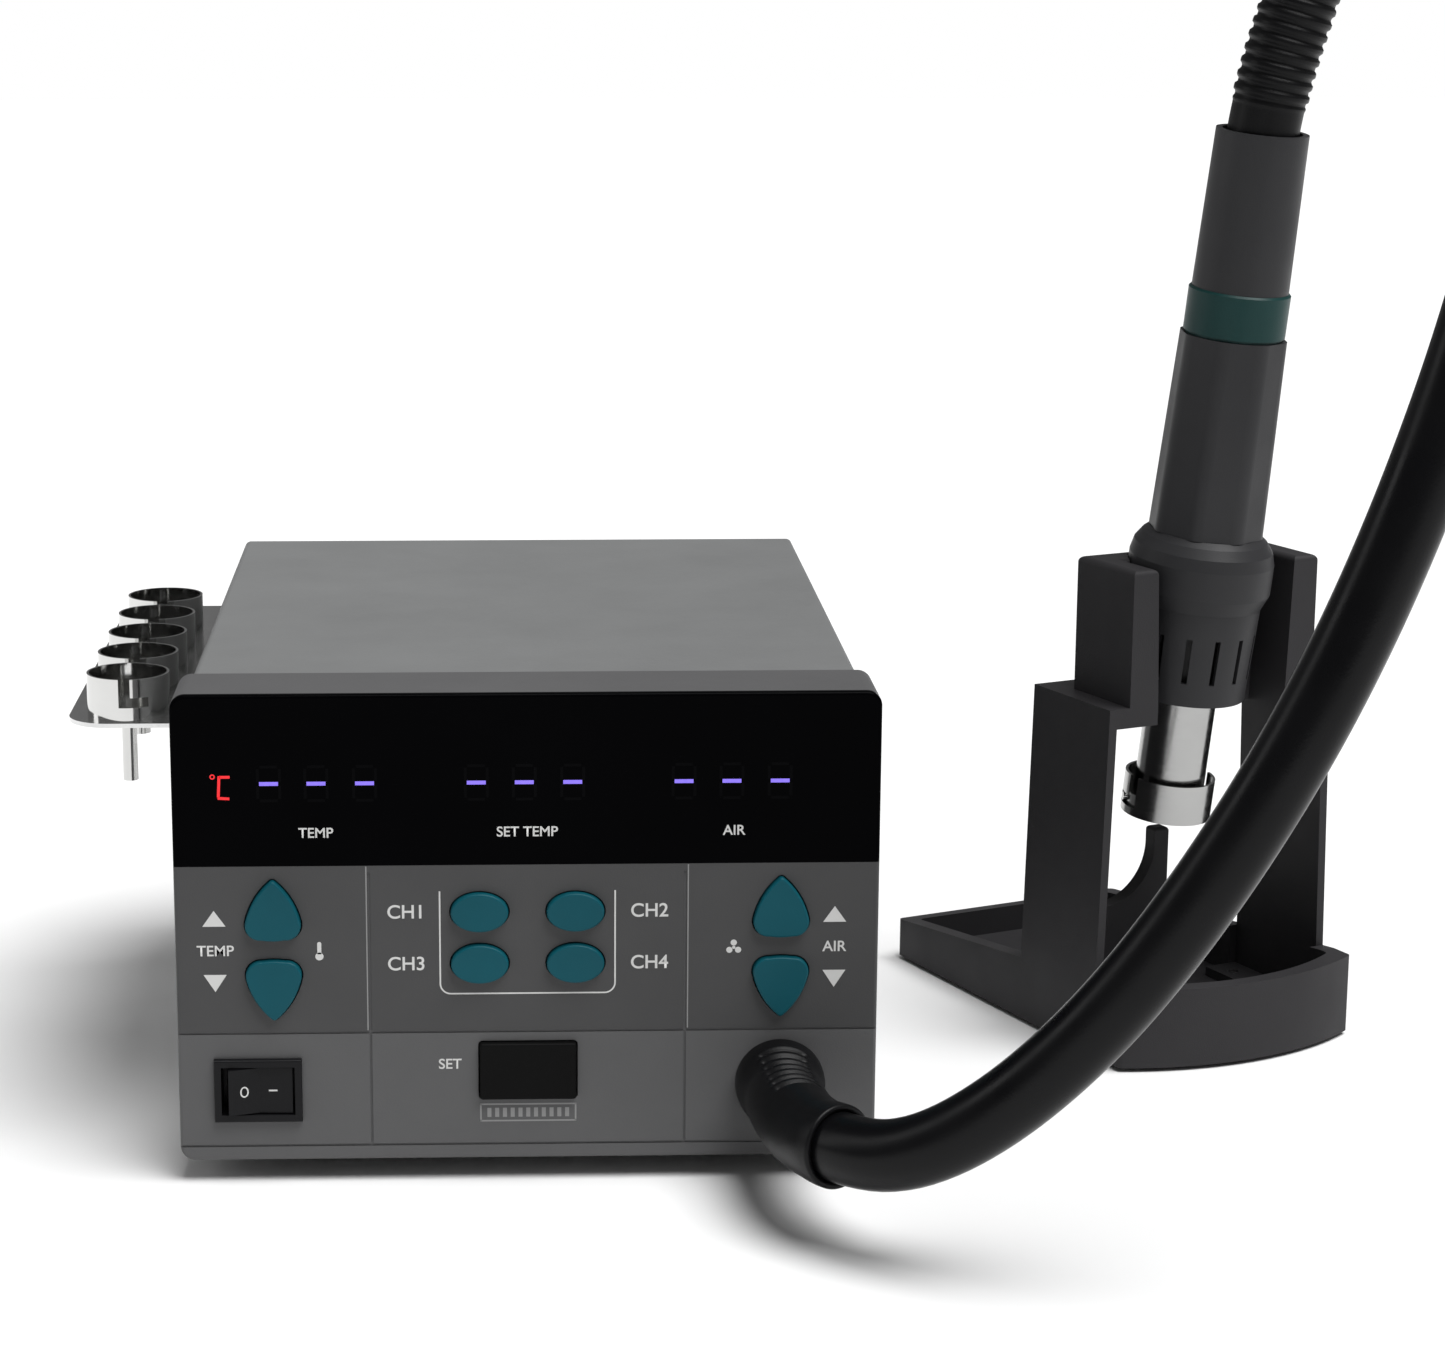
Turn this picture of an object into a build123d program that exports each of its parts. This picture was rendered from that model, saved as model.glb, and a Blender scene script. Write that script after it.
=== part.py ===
from build123d import *
import os
from math import cos, pi, radians, sin, tan

# Hot air rework station: control box with blower, nozzle rack, hand piece on a hose, and its stand.
# Frame: X to the user's right, Y away from the user, Z up, in millimetres.
# The origin is under the middle of the whole set, on the bench.
# Station positions are given from the middle of the control box's front face, at bench height.

STATION_X = -62.6
FRONT_Y = -90.2

# Control box
FOOT_H = 6.0
BODY_H = 129.0
BODY_TOP = FOOT_H + BODY_H
BODY_MID = FOOT_H + BODY_H / 2
BEZEL_W = 188.0
BEZEL_D = 27.0
BEZEL_WALL = 2.5
CORNER_R = 4.0
FRONT_WALL = 4.0
FRONT_ROUND = 1.0
WINDOW_H = 46.6
WINDOW_T = 2.0
WINDOW_BOTTOM = BODY_TOP - WINDOW_H
COVER_W = 182.5
COVER_TOP = 132.3
BODY_D = 245.0
SHEET = 1.2
FLOOR_TOP = FOOT_H + SHEET
GROOVE_W = 0.7
GROOVE_DEPTH = 0.4
COLUMN_X = 42.2
SEAM_Z = 42.0
STEP_Z = 10.2

# Buttons and switch on the front
BUTTON_GAP = 0.4
BUTTON_PROUD = 2.0
BUTTON_TRAVEL = 1.0
FLANGE_GROW = 1.2
FLANGE_T = 1.2
STEM_END = 8.0
BOARD_Y = 10.3
BOARD_T = 1.6
SHIELD_W = 14.8
SHIELD_H = 16.8
SHIELD_X = 67.8
SHIELD_UP_Z = 76.5
SHIELD_DOWN_Z = 54.2
OVAL_W = 15.4
OVAL_H = 10.6
OVAL_X = 12.8
OVAL_Z = (75.5, 61.2)
SET_W = 26.0
SET_H = 15.8
SET_Z = 31.1
SWITCH_X = -72.6
SWITCH_Z = 26.1
SWITCH_W = 23.6
SWITCH_H = 17.6
SWITCH_PROUD = 1.6
ROCKER_W = 17.2
ROCKER_H = 12.6
ROCKER_PIVOT_Y = 3.0
ROCKER_TILT = 8.0

# Displays
MODULE_W = 37.8
MODULE_H = 19.0
MODULE_D = 8.0
MODULE_Z = 111.0
MODULE_X = (-55.6, -0.7, 54.3)

# Nozzle rack on the left side
RACK_TOP = 117.0
RACK_OUT = 36.0
RACK_Y = (45.0, 212.0)
RACK_T = 1.2
CUP_R = 11.5
CUP_BORE_R = 10.8
CUP_H = 12.0
CUP_FLOOR_T = 0.8
CUP_X = -COVER_W / 2 - 19.5
CUP_Y = (58.0, 86.0, 114.0, 142.0, 170.0)
TUBE_R = (2.1, 3.0, 4.2, 5.2, 6.2)
TUBE_DROP = (19.0, 12.0, 9.0, 8.0, 8.0)
TUBE_WALL = 0.6

# Hose and its two boots
HOSE_R = 9.15
HOSE_BORE_R = 9.5
DUCT_BORE_R = 8.0
HOSE_Z = 27.0
HOSE_X = 68.0
BOOT_R = 10.9

# Hand piece: axis from the nozzle's mouth towards the hose
HANDLE_BASE = (196.8, 127.6, 73.0)
HANDLE_LEAN = (0.084, -0.080, 1.0)
BARREL_R = 10.5
BARREL_WALL = 0.8
NOZZLE_R = 13.6
NOZZLE_WALL = 0.8
NOZZLE_H = 12.2
MOUTH_S = -5.0
PIN_S = MOUTH_S + 4.0
PIN_R = 1.3
SHIELD_S = (34.0, 62.5)
COLLAR_R = 21.5
COLLAR_TOP = 84.0
GRIP_TOP = 144.0
RING_TOP = 157.0
TAIL_TOP = 203.0
TAIL_BORE_R = 11.6
HOSE_END_S = 196.0

# Stand: base wedge, two posts with cradle blocks, and a rest behind the nozzle
STAND_POS = (214.5, 100.0)
STAND_TURN = 24.0
STAND_W = 84.0
STAND_L = 128.0
STAND_BULGE = 10.0
STAND_RIM = 5.0
STAND_LIFT = 1.0
STAND_FRONT_Z = 25.0
STAND_BACK_Z = 13.0
POST_T = (13.5, 54.0)
POST_WALL = 2.6
POST_INSET = 2.0
LEDGE_Z = (101.0, 107.0)
BLOCK_TOP = 148.0
BLOCK_W = (24.5, 33.0)
BLOCK_T = (13.5, 43.0)
LIP_T = 31.0
LIP_W = 12.0
HANDLE_CLEAR = 0.4
TRAY_FLOOR = 5.0

os.makedirs("parts", exist_ok=True)


def finish(part, name):
    """Label a finished piece and write it."""
    part.label = name
    export_step(part, f"parts/{name}.step")


def front(x, y, z):
    """Plane facing the user, at a point given from the control box's front centre line."""
    return Plane(origin=(STATION_X + x, FRONT_Y + y, z), x_dir=(1, 0, 0), z_dir=(0, -1, 0))


def level(x, y, z):
    """Level plane, facing up, at a point given from the control box's front centre line."""
    return Plane(origin=(STATION_X + x, FRONT_Y + y, z))


def side(x, y, z):
    """Plane facing +X at a point given from the front centre line; its own x runs along +Y."""
    return Plane(origin=(STATION_X + x, FRONT_Y + y, z), x_dir=(0, 1, 0), z_dir=(1, 0, 0))


def block(xs, ys, zs, mode=Mode.ADD):
    """Box between low and high values given from the control box's front centre line."""
    centre = (STATION_X + sum(xs) / 2, FRONT_Y + sum(ys) / 2, sum(zs) / 2)
    with Locations(centre):
        Box(xs[1] - xs[0], ys[1] - ys[0], zs[1] - zs[0], mode=mode)


def rod(plane, radius, length, mode=Mode.ADD):
    """Cylinder standing on a plane and reaching length along its normal."""
    with Locations(plane.location):
        Cylinder(radius, length, align=(Align.CENTER, Align.CENTER, Align.MIN), mode=mode)


# ---------------------------------------------------------------- outlines of the buttons

def shield_outline(grow):
    """Pointed shield, tip up, with bowed sides and a bowed base."""
    half = SHIELD_W / 2
    tip = SHIELD_H / 2
    with BuildSketch() as outline:
        with BuildLine():
            flank = ThreePointArc((0, tip), (half * 0.66, tip * 0.34), (half, -tip * 0.42))
            heel = ThreePointArc(flank @ 1, (half * 0.86, -tip * 0.82), (half * 0.42, -tip * 0.97))
            mirror(flank, about=Plane.YZ)
            mirror(heel, about=Plane.YZ)
            ThreePointArc(heel @ 1, (0, -tip), (-half * 0.42, -tip * 0.97))
        make_face()
        fillet(outline.vertices().sort_by(Axis.Y)[-1], 1.0)
        if grow:
            offset(amount=grow, kind=Kind.ARC)
    return outline.sketch


def oval_outline(grow):
    """Oval button outline."""
    with BuildSketch() as outline:
        Ellipse(OVAL_W / 2 + grow, OVAL_H / 2 + grow)
    return outline.sketch


def set_outline(grow):
    """Rectangular button outline."""
    with BuildSketch() as outline:
        RectangleRounded(SET_W + 2 * grow, SET_H + 2 * grow, 0.8 + grow)
    return outline.sketch


# name, outline, x, z, turn in degrees
BUTTONS = (
    ("temp_up_button", shield_outline, -SHIELD_X, SHIELD_UP_Z, 0),
    ("temp_down_button", shield_outline, -SHIELD_X, SHIELD_DOWN_Z, 180),
    ("air_up_button", shield_outline, SHIELD_X, SHIELD_UP_Z, 0),
    ("air_down_button", shield_outline, SHIELD_X, SHIELD_DOWN_Z, 180),
    ("channel_1_button", oval_outline, -OVAL_X, OVAL_Z[0], 0),
    ("channel_2_button", oval_outline, OVAL_X, OVAL_Z[0], 0),
    ("channel_3_button", oval_outline, -OVAL_X, OVAL_Z[1], 0),
    ("channel_4_button", oval_outline, OVAL_X, OVAL_Z[1], 0),
    ("set_button", set_outline, 0.0, SET_Z, 0),
)

for name, outline, x, z, turn in BUTTONS:
    cap_face = outline(0.0)
    flange_face = outline(FLANGE_GROW)
    with BuildPart() as button:
        with BuildSketch(front(x, -BUTTON_PROUD, z)):
            add(cap_face, rotation=turn)
        extrude(amount=-(BUTTON_PROUD + FRONT_WALL + 0.3))
        fillet(button.faces().sort_by(Axis.Y)[0].edges(), 0.6)
        with BuildSketch(front(x, FRONT_WALL + 0.3, z)):
            add(flange_face, rotation=turn)
        extrude(amount=-FLANGE_T)
        rod(front(x, STEM_END, z), 2.0, STEM_END - FRONT_WALL - 0.3 - FLANGE_T)
    finish(button.part, name)

with BuildPart() as button_switches:
    for name, outline, x, z, turn in BUTTONS:
        block((x - 3, x + 3), (STEM_END + BUTTON_TRAVEL + 0.2, BOARD_Y), (z - 3, z + 3))
finish(button_switches.part, "button_switches")


# ---------------------------------------------------------------- control box casing

with BuildPart() as front_bezel:
    with BuildSketch(front(0, 0, BODY_MID)):
        RectangleRounded(BEZEL_W, BODY_H, CORNER_R)
    extrude(amount=-BEZEL_D)
    fillet(front_bezel.faces().sort_by(Axis.Y)[0].edges(), FRONT_ROUND)
    with BuildSketch(front(0, FRONT_WALL, BODY_MID)):
        RectangleRounded(BEZEL_W - 2 * BEZEL_WALL, BODY_H - 2 * BEZEL_WALL, CORNER_R - BEZEL_WALL)
    extrude(amount=-(BEZEL_D - FRONT_WALL), mode=Mode.SUBTRACT)
    # recess that the window fills, open to both sides and the top
    block((-BEZEL_W / 2 - 1, BEZEL_W / 2 + 1), (-1, WINDOW_T), (WINDOW_BOTTOM, BODY_TOP + 1), Mode.SUBTRACT)
    # openings for the displays
    for x in MODULE_X:
        block(
            (x - MODULE_W / 2 - 0.3, x + MODULE_W / 2 + 0.3),
            (0, FRONT_WALL + 1),
            (MODULE_Z - MODULE_H / 2 - 0.3, MODULE_Z + MODULE_H / 2 + 0.3),
            Mode.SUBTRACT,
        )
    # button openings
    for name, outline, x, z, turn in BUTTONS:
        opening = outline(BUTTON_GAP)
        with BuildSketch(front(x, -1, z)):
            add(opening, rotation=turn)
        extrude(amount=-(FRONT_WALL + 2), mode=Mode.SUBTRACT)
    # power switch opening
    block(
        (SWITCH_X - SWITCH_W / 2 + 1, SWITCH_X + SWITCH_W / 2 - 1),
        (-1, FRONT_WALL + 1),
        (SWITCH_Z - SWITCH_H / 2 + 1, SWITCH_Z + SWITCH_H / 2 - 1),
        Mode.SUBTRACT,
    )
    # hose opening
    rod(front(HOSE_X, FRONT_WALL + 1, HOSE_Z), 11.4, FRONT_WALL + 2, Mode.SUBTRACT)
    # panel seams
    for x in (-COLUMN_X, COLUMN_X):
        groove = (x - GROOVE_W / 2, x + GROOVE_W / 2)
        block(groove, (-1, GROOVE_DEPTH), (STEP_Z, WINDOW_BOTTOM - 2), Mode.SUBTRACT)
    for z in (SEAM_Z, STEP_Z):
        block(
            (-BEZEL_W / 2 - 1, BEZEL_W / 2 + 1),
            (-1, GROOVE_DEPTH),
            (z - GROOVE_W / 2, z + GROOVE_W / 2),
            Mode.SUBTRACT,
        )
finish(front_bezel.part, "front_bezel")

with BuildPart() as display_window:
    with BuildSketch(front(0, 0, BODY_MID)):
        RectangleRounded(BEZEL_W, BODY_H, CORNER_R)
    extrude(amount=-WINDOW_T)
    fillet(display_window.faces().sort_by(Axis.Y)[0].edges(), FRONT_ROUND)
    block((-BEZEL_W, BEZEL_W), (-1, WINDOW_T + 1), (0, WINDOW_BOTTOM), Mode.SUBTRACT)
finish(display_window.part, "display_window")

with BuildPart() as top_cover:
    half = COVER_W / 2
    block((-half, half), (BEZEL_D, BODY_D), (FLOOR_TOP, COVER_TOP))
    fillet(top_cover.edges().filter_by(Axis.Y).group_by(Axis.Z)[-1], 2.0)
    block((-half + SHEET, half - SHEET), (BEZEL_D - 1, BODY_D + 1), (0, COVER_TOP - SHEET), Mode.SUBTRACT)
finish(top_cover.part, "top_cover")

with BuildPart() as base_tray:
    half = COVER_W / 2 - SHEET
    block((-half - SHEET, half + SHEET), (BEZEL_D, BODY_D), (FOOT_H, FLOOR_TOP))
    for x in (-half, half - SHEET):
        block((x, x + SHEET), (BEZEL_D + 2, BODY_D - 6), (FLOOR_TOP, FLOOR_TOP + 14))
    # intake slots under the blower
    for i in range(8):
        block((8 + 8 * i, 11 + 8 * i), (140, 190), (0, FLOOR_TOP + 1), Mode.SUBTRACT)
finish(base_tray.part, "base_tray")

INLET_X = -58.0
INLET_Z = 40.0
FUSE_X = -20.0

with BuildPart() as rear_panel:
    half = COVER_W / 2 - SHEET
    block((-half, half), (BODY_D - 1.5, BODY_D), (FLOOR_TOP, COVER_TOP - SHEET - 1))
    inlet_hole = (INLET_X - 13.8, INLET_X + 13.8)
    block(inlet_hole, (BODY_D - 3, BODY_D + 1), (INLET_Z - 10.2, INLET_Z + 10.2), Mode.SUBTRACT)
    rod(front(FUSE_X, BODY_D + 1, INLET_Z), 6.2, 4, Mode.SUBTRACT)
    for row in range(2):
        for i in range(9):
            x = 12 + 8 * i
            z = 60 + 34 * row
            block((x, x + 3), (BODY_D - 3, BODY_D + 1), (z, z + 26), Mode.SUBTRACT)
finish(rear_panel.part, "rear_panel")

with BuildPart() as cover_screws:
    for y in (72, 128, 190):
        rod(side(-COVER_W / 2 - RACK_T - 1.8, y, RACK_TOP - 17), 3.0, 1.8)
    for y in (60, 210):
        rod(side(COVER_W / 2, y, 18), 3.0, 1.6)
        rod(side(-COVER_W / 2 - 1.6, y, 18), 3.0, 1.6)
    for x in (-84, 84):
        for z in (18, 120):
            rod(front(x, BODY_D + 1.6, z), 3.0, 1.6)
finish(cover_screws.part, "cover_screws")

# ---------------------------------------------------------------- rear inlet and fuse

with BuildPart() as mains_inlet:
    block((INLET_X - 16, INLET_X + 16), (BODY_D, BODY_D + 2), (INLET_Z - 12.5, INLET_Z + 12.5))
    block((INLET_X - 13.5, INLET_X + 13.5), (BODY_D - 20, BODY_D), (INLET_Z - 9.9, INLET_Z + 9.9))
    socket = (INLET_X - 12, INLET_X + 12)
    block(socket, (BODY_D - 14, BODY_D + 3), (INLET_Z - 8.4, INLET_Z + 8.4), Mode.SUBTRACT)
finish(mains_inlet.part, "mains_inlet")

with BuildPart() as inlet_pins:
    for x, z in ((-7, -2), (7, -2), (0, 2)):
        block(
            (INLET_X + x - 1, INLET_X + x + 1),
            (BODY_D - 14, BODY_D - 2),
            (INLET_Z + z - 2.2, INLET_Z + z + 2.2),
        )
finish(inlet_pins.part, "inlet_pins")

with BuildPart() as fuse_holder:
    rod(front(FUSE_X, BODY_D + 2.5, INLET_Z), 8.0, 2.5)
    rod(front(FUSE_X, BODY_D, INLET_Z), 6.0, 26)
    slot = (FUSE_X - 4, FUSE_X + 4)
    block(slot, (BODY_D + 1.5, BODY_D + 4), (INLET_Z - 0.6, INLET_Z + 0.6), Mode.SUBTRACT)
finish(fuse_holder.part, "fuse_holder")

# ---------------------------------------------------------------- power switch

with BuildPart() as power_switch_body:
    half_w = SWITCH_W / 2
    half_h = SWITCH_H / 2
    block(
        (SWITCH_X - half_w, SWITCH_X + half_w),
        (-SWITCH_PROUD, 0),
        (SWITCH_Z - half_h, SWITCH_Z + half_h),
    )
    fillet(power_switch_body.faces().sort_by(Axis.Y)[0].edges(), 0.6)
    block(
        (SWITCH_X - half_w + 1.1, SWITCH_X + half_w - 1.1),
        (0, 20),
        (SWITCH_Z - half_h + 1.1, SWITCH_Z + half_h - 1.1),
    )
    block(
        (SWITCH_X - half_w + 1.9, SWITCH_X + half_w - 1.9),
        (-SWITCH_PROUD - 1, 7),
        (SWITCH_Z - half_h + 2.1, SWITCH_Z + half_h - 2.1),
        Mode.SUBTRACT,
    )
    rod(level(SWITCH_X, ROCKER_PIVOT_Y, SWITCH_Z - half_h + 1.3), 1.1, SWITCH_H - 2.6, Mode.SUBTRACT)
finish(power_switch_body.part, "power_switch_body")

ROCKER_BACK = ROCKER_PIVOT_Y + 0.6
ROCKER_FRONT = -SWITCH_PROUD - 0.4

with BuildPart() as power_rocker:
    with BuildSketch(level(SWITCH_X, ROCKER_PIVOT_Y, SWITCH_Z - ROCKER_H / 2)):
        with BuildLine():
            Polyline(
                (-ROCKER_W / 2, ROCKER_BACK - ROCKER_PIVOT_Y),
                (-ROCKER_W / 2, ROCKER_FRONT - ROCKER_PIVOT_Y),
                (0, ROCKER_FRONT - ROCKER_PIVOT_Y + 1.4),
                (ROCKER_W / 2, ROCKER_FRONT - ROCKER_PIVOT_Y),
                (ROCKER_W / 2, ROCKER_BACK - ROCKER_PIVOT_Y),
                close=True,
            )
        make_face()
    extrude(amount=ROCKER_H)
    rod(level(SWITCH_X, ROCKER_PIVOT_Y, SWITCH_Z - ROCKER_H / 2 - 0.9), 1.0, ROCKER_H + 1.8)
ROCKER_AXIS = Axis((STATION_X + SWITCH_X, FRONT_Y + ROCKER_PIVOT_Y, SWITCH_Z), (0, 0, 1))
finish(power_rocker.part.rotate(ROCKER_AXIS, ROCKER_TILT), "power_rocker")

# ---------------------------------------------------------------- displays and boards

with BuildPart() as led_modules:
    for x in MODULE_X:
        block(
            (x - MODULE_W / 2, x + MODULE_W / 2),
            (BOARD_Y - MODULE_D, BOARD_Y),
            (MODULE_Z - MODULE_H / 2, MODULE_Z + MODULE_H / 2),
        )
finish(led_modules.part, "led_modules")

with BuildPart() as display_board:
    block((-84, 84), (BOARD_Y, BOARD_Y + BOARD_T), (46, 126))
    block((-14, 14), (BOARD_Y, BOARD_Y + BOARD_T), (22, 46))
finish(display_board.part, "display_board")

BOARD_Z = 16.0

with BuildPart() as board_standoffs:
    for x in (-80, 3):
        for y in (50, 122):
            rod(level(x, y, FLOOR_TOP), 3.0, BOARD_Z - FLOOR_TOP)
    for x in (-80, 80):
        for z in (50, 122):
            rod(front(x, BOARD_Y, z), 3.0, BOARD_Y - FRONT_WALL)
finish(board_standoffs.part, "board_standoffs")

with BuildPart() as control_board:
    block((-85, 8), (44, 128), (BOARD_Z, BOARD_Z + BOARD_T))
finish(control_board.part, "control_board")

with BuildPart() as board_components:
    top = BOARD_Z + BOARD_T
    for x in (-70, -54, -38):
        rod(level(x, 112, top), 6.5, 22)
    block((-24, -8), (60, 76), (top, top + 12))
    block((-6, 6), (60, 90), (top, top + 16))
finish(board_components.part, "board_components")

with BuildPart() as heatsink:
    top = BOARD_Z + BOARD_T
    block((-76, -36), (60, 64), (top, top + 34))
    for i in range(7):
        x = -76 + 6.4 * i
        block((x, x + 1.6), (64, 84), (top, top + 34))
finish(heatsink.part, "heatsink")

with BuildPart() as transformer_core:
    block((-82, -14), (154, 184), (FLOOR_TOP, FLOOR_TOP + 56))
    for x in (-68, -42):
        block((x, x + 14), (150, 190), (FLOOR_TOP + 11, FLOOR_TOP + 45), Mode.SUBTRACT)
finish(transformer_core.part, "transformer_core")

with BuildPart() as transformer_winding:
    block((-67.5, -28.5), (144, 194), (FLOOR_TOP + 11.5, FLOOR_TOP + 44.5))
    block((-54.2, -41.8), (153.8, 184.2), (FLOOR_TOP, FLOOR_TOP + 56), Mode.SUBTRACT)
finish(transformer_winding.part, "transformer_winding")

# ---------------------------------------------------------------- blower, with its duct to the hose

BLOWER_X = 34.0
BLOWER_Y = 165.0
BLOWER_Z = 14.0
BLOWER_H = 30.0
BLOWER_R = 44.0
IMPELLER_R = 34.0
OUTLET_X = (56.0, 80.0)
OUTLET_Y = 112.0

with BuildPart() as blower_housing:
    rod(level(BLOWER_X, BLOWER_Y, BLOWER_Z), BLOWER_R, BLOWER_H)
    block(OUTLET_X, (OUTLET_Y, BLOWER_Y), (BLOWER_Z, BLOWER_Z + BLOWER_H))
    rod(level(BLOWER_X, BLOWER_Y, BLOWER_Z + 2.5), BLOWER_R - 2.5, BLOWER_H - 5, Mode.SUBTRACT)
    block(
        (OUTLET_X[0] + 2.5, OUTLET_X[1] - 2.5),
        (OUTLET_Y + 2.5, BLOWER_Y),
        (BLOWER_Z + 2.5, BLOWER_Z + BLOWER_H - 2.5),
        Mode.SUBTRACT,
    )
    rod(level(BLOWER_X, BLOWER_Y, BLOWER_Z - 1), 18.0, 4, Mode.SUBTRACT)
    rod(level(BLOWER_X, BLOWER_Y, BLOWER_Z + BLOWER_H - 4), 2.5, 6, Mode.SUBTRACT)
    rod(front(HOSE_X, OUTLET_Y + 4, HOSE_Z), DUCT_BORE_R, 8, Mode.SUBTRACT)
    for angle in (60, 180, 300):
        x = BLOWER_X + 38 * cos(radians(angle))
        y = BLOWER_Y + 38 * sin(radians(angle))
        rod(level(x, y, FLOOR_TOP), 4.0, BLOWER_Z - FLOOR_TOP)
finish(blower_housing.part, "blower_housing")

with BuildPart() as blower_impeller:
    rod(level(BLOWER_X, BLOWER_Y, BLOWER_Z + 22), IMPELLER_R, 2)
    rod(level(BLOWER_X, BLOWER_Y, BLOWER_Z + 12), 7.0, 10)
    with BuildSketch(level(BLOWER_X, BLOWER_Y, BLOWER_Z + 5)):
        with PolarLocations(IMPELLER_R - 9, 16):
            Rectangle(16, 1.4, rotation=35)
    extrude(amount=17)
    rod(level(BLOWER_X, BLOWER_Y, BLOWER_Z + 24), 2.0, 24)
finish(blower_impeller.part, "blower_impeller")

with BuildPart() as blower_motor:
    rod(level(BLOWER_X, BLOWER_Y, BLOWER_Z + BLOWER_H), 19.0, 32)
    fillet(blower_motor.faces().sort_by(Axis.Z)[-1].edges(), 2.0)
    rod(level(BLOWER_X, BLOWER_Y, BLOWER_Z + BLOWER_H - 1), 2.5, 22, Mode.SUBTRACT)
finish(blower_motor.part, "blower_motor")

with BuildPart() as air_duct:
    rod(front(HOSE_X, OUTLET_Y, HOSE_Z), 9.6, OUTLET_Y - 26)
    rod(front(HOSE_X, OUTLET_Y + 1, HOSE_Z), DUCT_BORE_R, OUTLET_Y, Mode.SUBTRACT)
finish(air_duct.part, "air_duct")

with BuildPart() as hose_gland:
    rod(front(HOSE_X, 26, HOSE_Z), 14.0, 26 - FRONT_WALL)
    rod(front(HOSE_X, FRONT_WALL, HOSE_Z), 11.2, FRONT_WALL)
    rod(front(HOSE_X, 27, HOSE_Z), DUCT_BORE_R, 30, Mode.SUBTRACT)
    with BuildSketch(front(HOSE_X, 12, HOSE_Z)):
        Circle(18)
        RegularPolygon(13.4, 6, major_radius=False, mode=Mode.SUBTRACT)
    extrude(amount=8, mode=Mode.SUBTRACT)
finish(hose_gland.part, "hose_gland")

# ---------------------------------------------------------------- nozzle rack

SIDE_X = -COVER_W / 2

with BuildPart() as rack_plate:
    with BuildSketch(level(SIDE_X - RACK_OUT / 2, sum(RACK_Y) / 2, RACK_TOP - RACK_T)):
        Rectangle(RACK_OUT, RACK_Y[1] - RACK_Y[0])
    extrude(amount=RACK_T)
    fillet(rack_plate.edges().filter_by(Axis.Z).group_by(Axis.X)[0], 12.0)
    block((SIDE_X - RACK_T, SIDE_X), RACK_Y, (RACK_TOP - 26, RACK_TOP))
    for y, radius in zip(CUP_Y, TUBE_R):
        rod(level(CUP_X, y, RACK_TOP - 3), radius + 0.8, 5, Mode.SUBTRACT)
finish(rack_plate.part, "rack_plate")

for index, (y, radius, drop) in enumerate(zip(CUP_Y, TUBE_R, TUBE_DROP), 1):
    with BuildPart() as spare_nozzle:
        rod(level(CUP_X, y, RACK_TOP), CUP_R, CUP_H)
        rod(level(CUP_X, y, RACK_TOP + CUP_FLOOR_T), CUP_BORE_R, CUP_H, Mode.SUBTRACT)
        rod(level(CUP_X, y, RACK_TOP - drop), radius, drop)
        rod(level(CUP_X, y, RACK_TOP - drop - 1), radius - TUBE_WALL, drop + 3, Mode.SUBTRACT)
        # bayonet slot, an L in the cup's wall
        block((CUP_X - 1.6, CUP_X + 1.6), (y - 14, y), (RACK_TOP + 4, RACK_TOP + CUP_H + 1), Mode.SUBTRACT)
        block((CUP_X - 1.6, CUP_X + 6.5), (y - 14, y - 2), (RACK_TOP + 4, RACK_TOP + 6.8), Mode.SUBTRACT)
    finish(spare_nozzle.part, f"spare_nozzle_{index}")

# ---------------------------------------------------------------- hand piece

HANDLE = Plane(
    origin=(STATION_X + HANDLE_BASE[0], FRONT_Y + HANDLE_BASE[1], HANDLE_BASE[2]),
    x_dir=(1, 0, -HANDLE_LEAN[0]),
    z_dir=HANDLE_LEAN,
)
HANDLE_SECTION = Plane(origin=HANDLE.origin, x_dir=HANDLE.x_dir, z_dir=-HANDLE.y_dir)
HANDLE_AXIS = Axis(HANDLE.origin, HANDLE.z_dir)


def turned(outline, mode=Mode.ADD):
    """Solid of revolution about the hand piece's axis from (radius, height) points."""
    with BuildSketch(HANDLE_SECTION) as profile:
        with BuildLine():
            Polyline(*outline, close=True)
        make_face()
    revolve(profile.sketch, axis=HANDLE_AXIS, mode=mode)


def sleeve(inner, outer, low, high, mode=Mode.ADD):
    """Straight tube about the hand piece's axis."""
    turned([(inner, low), (outer, low), (outer, high), (inner, high)], mode)


SLOT_TURN = 26.0
SLOT_HALF = 1.7


def ray(angle, reach=20.0):
    """Point at an angle about the hand piece's axis."""
    return (reach * cos(radians(angle)), reach * sin(radians(angle)))


with BuildPart() as handle_nozzle:
    sleeve(NOZZLE_R - NOZZLE_WALL, NOZZLE_R, MOUTH_S, MOUTH_S + NOZZLE_H)
    sleeve(8.6, NOZZLE_R - NOZZLE_WALL, MOUTH_S, MOUTH_S + 1.0)
    # bayonet slots, one each side: down from the rim, then round to where the pin rests
    for angle in (0, 180):
        with BuildSketch(HANDLE.offset(PIN_S - SLOT_HALF)):
            with BuildLine():
                Polyline(
                    (0, 0),
                    ray(angle - 8),
                    ray(angle + SLOT_TURN / 2),
                    ray(angle + SLOT_TURN + 8),
                    close=True,
                )
            make_face()
        extrude(amount=2 * SLOT_HALF, mode=Mode.SUBTRACT)
        with BuildSketch(HANDLE.offset(PIN_S - SLOT_HALF)):
            with BuildLine():
                Polyline((0, 0), ray(angle + SLOT_TURN - 8), ray(angle + SLOT_TURN + 8), close=True)
            make_face()
        extrude(amount=NOZZLE_H, mode=Mode.SUBTRACT)
finish(handle_nozzle.part, "handle_nozzle")

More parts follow.
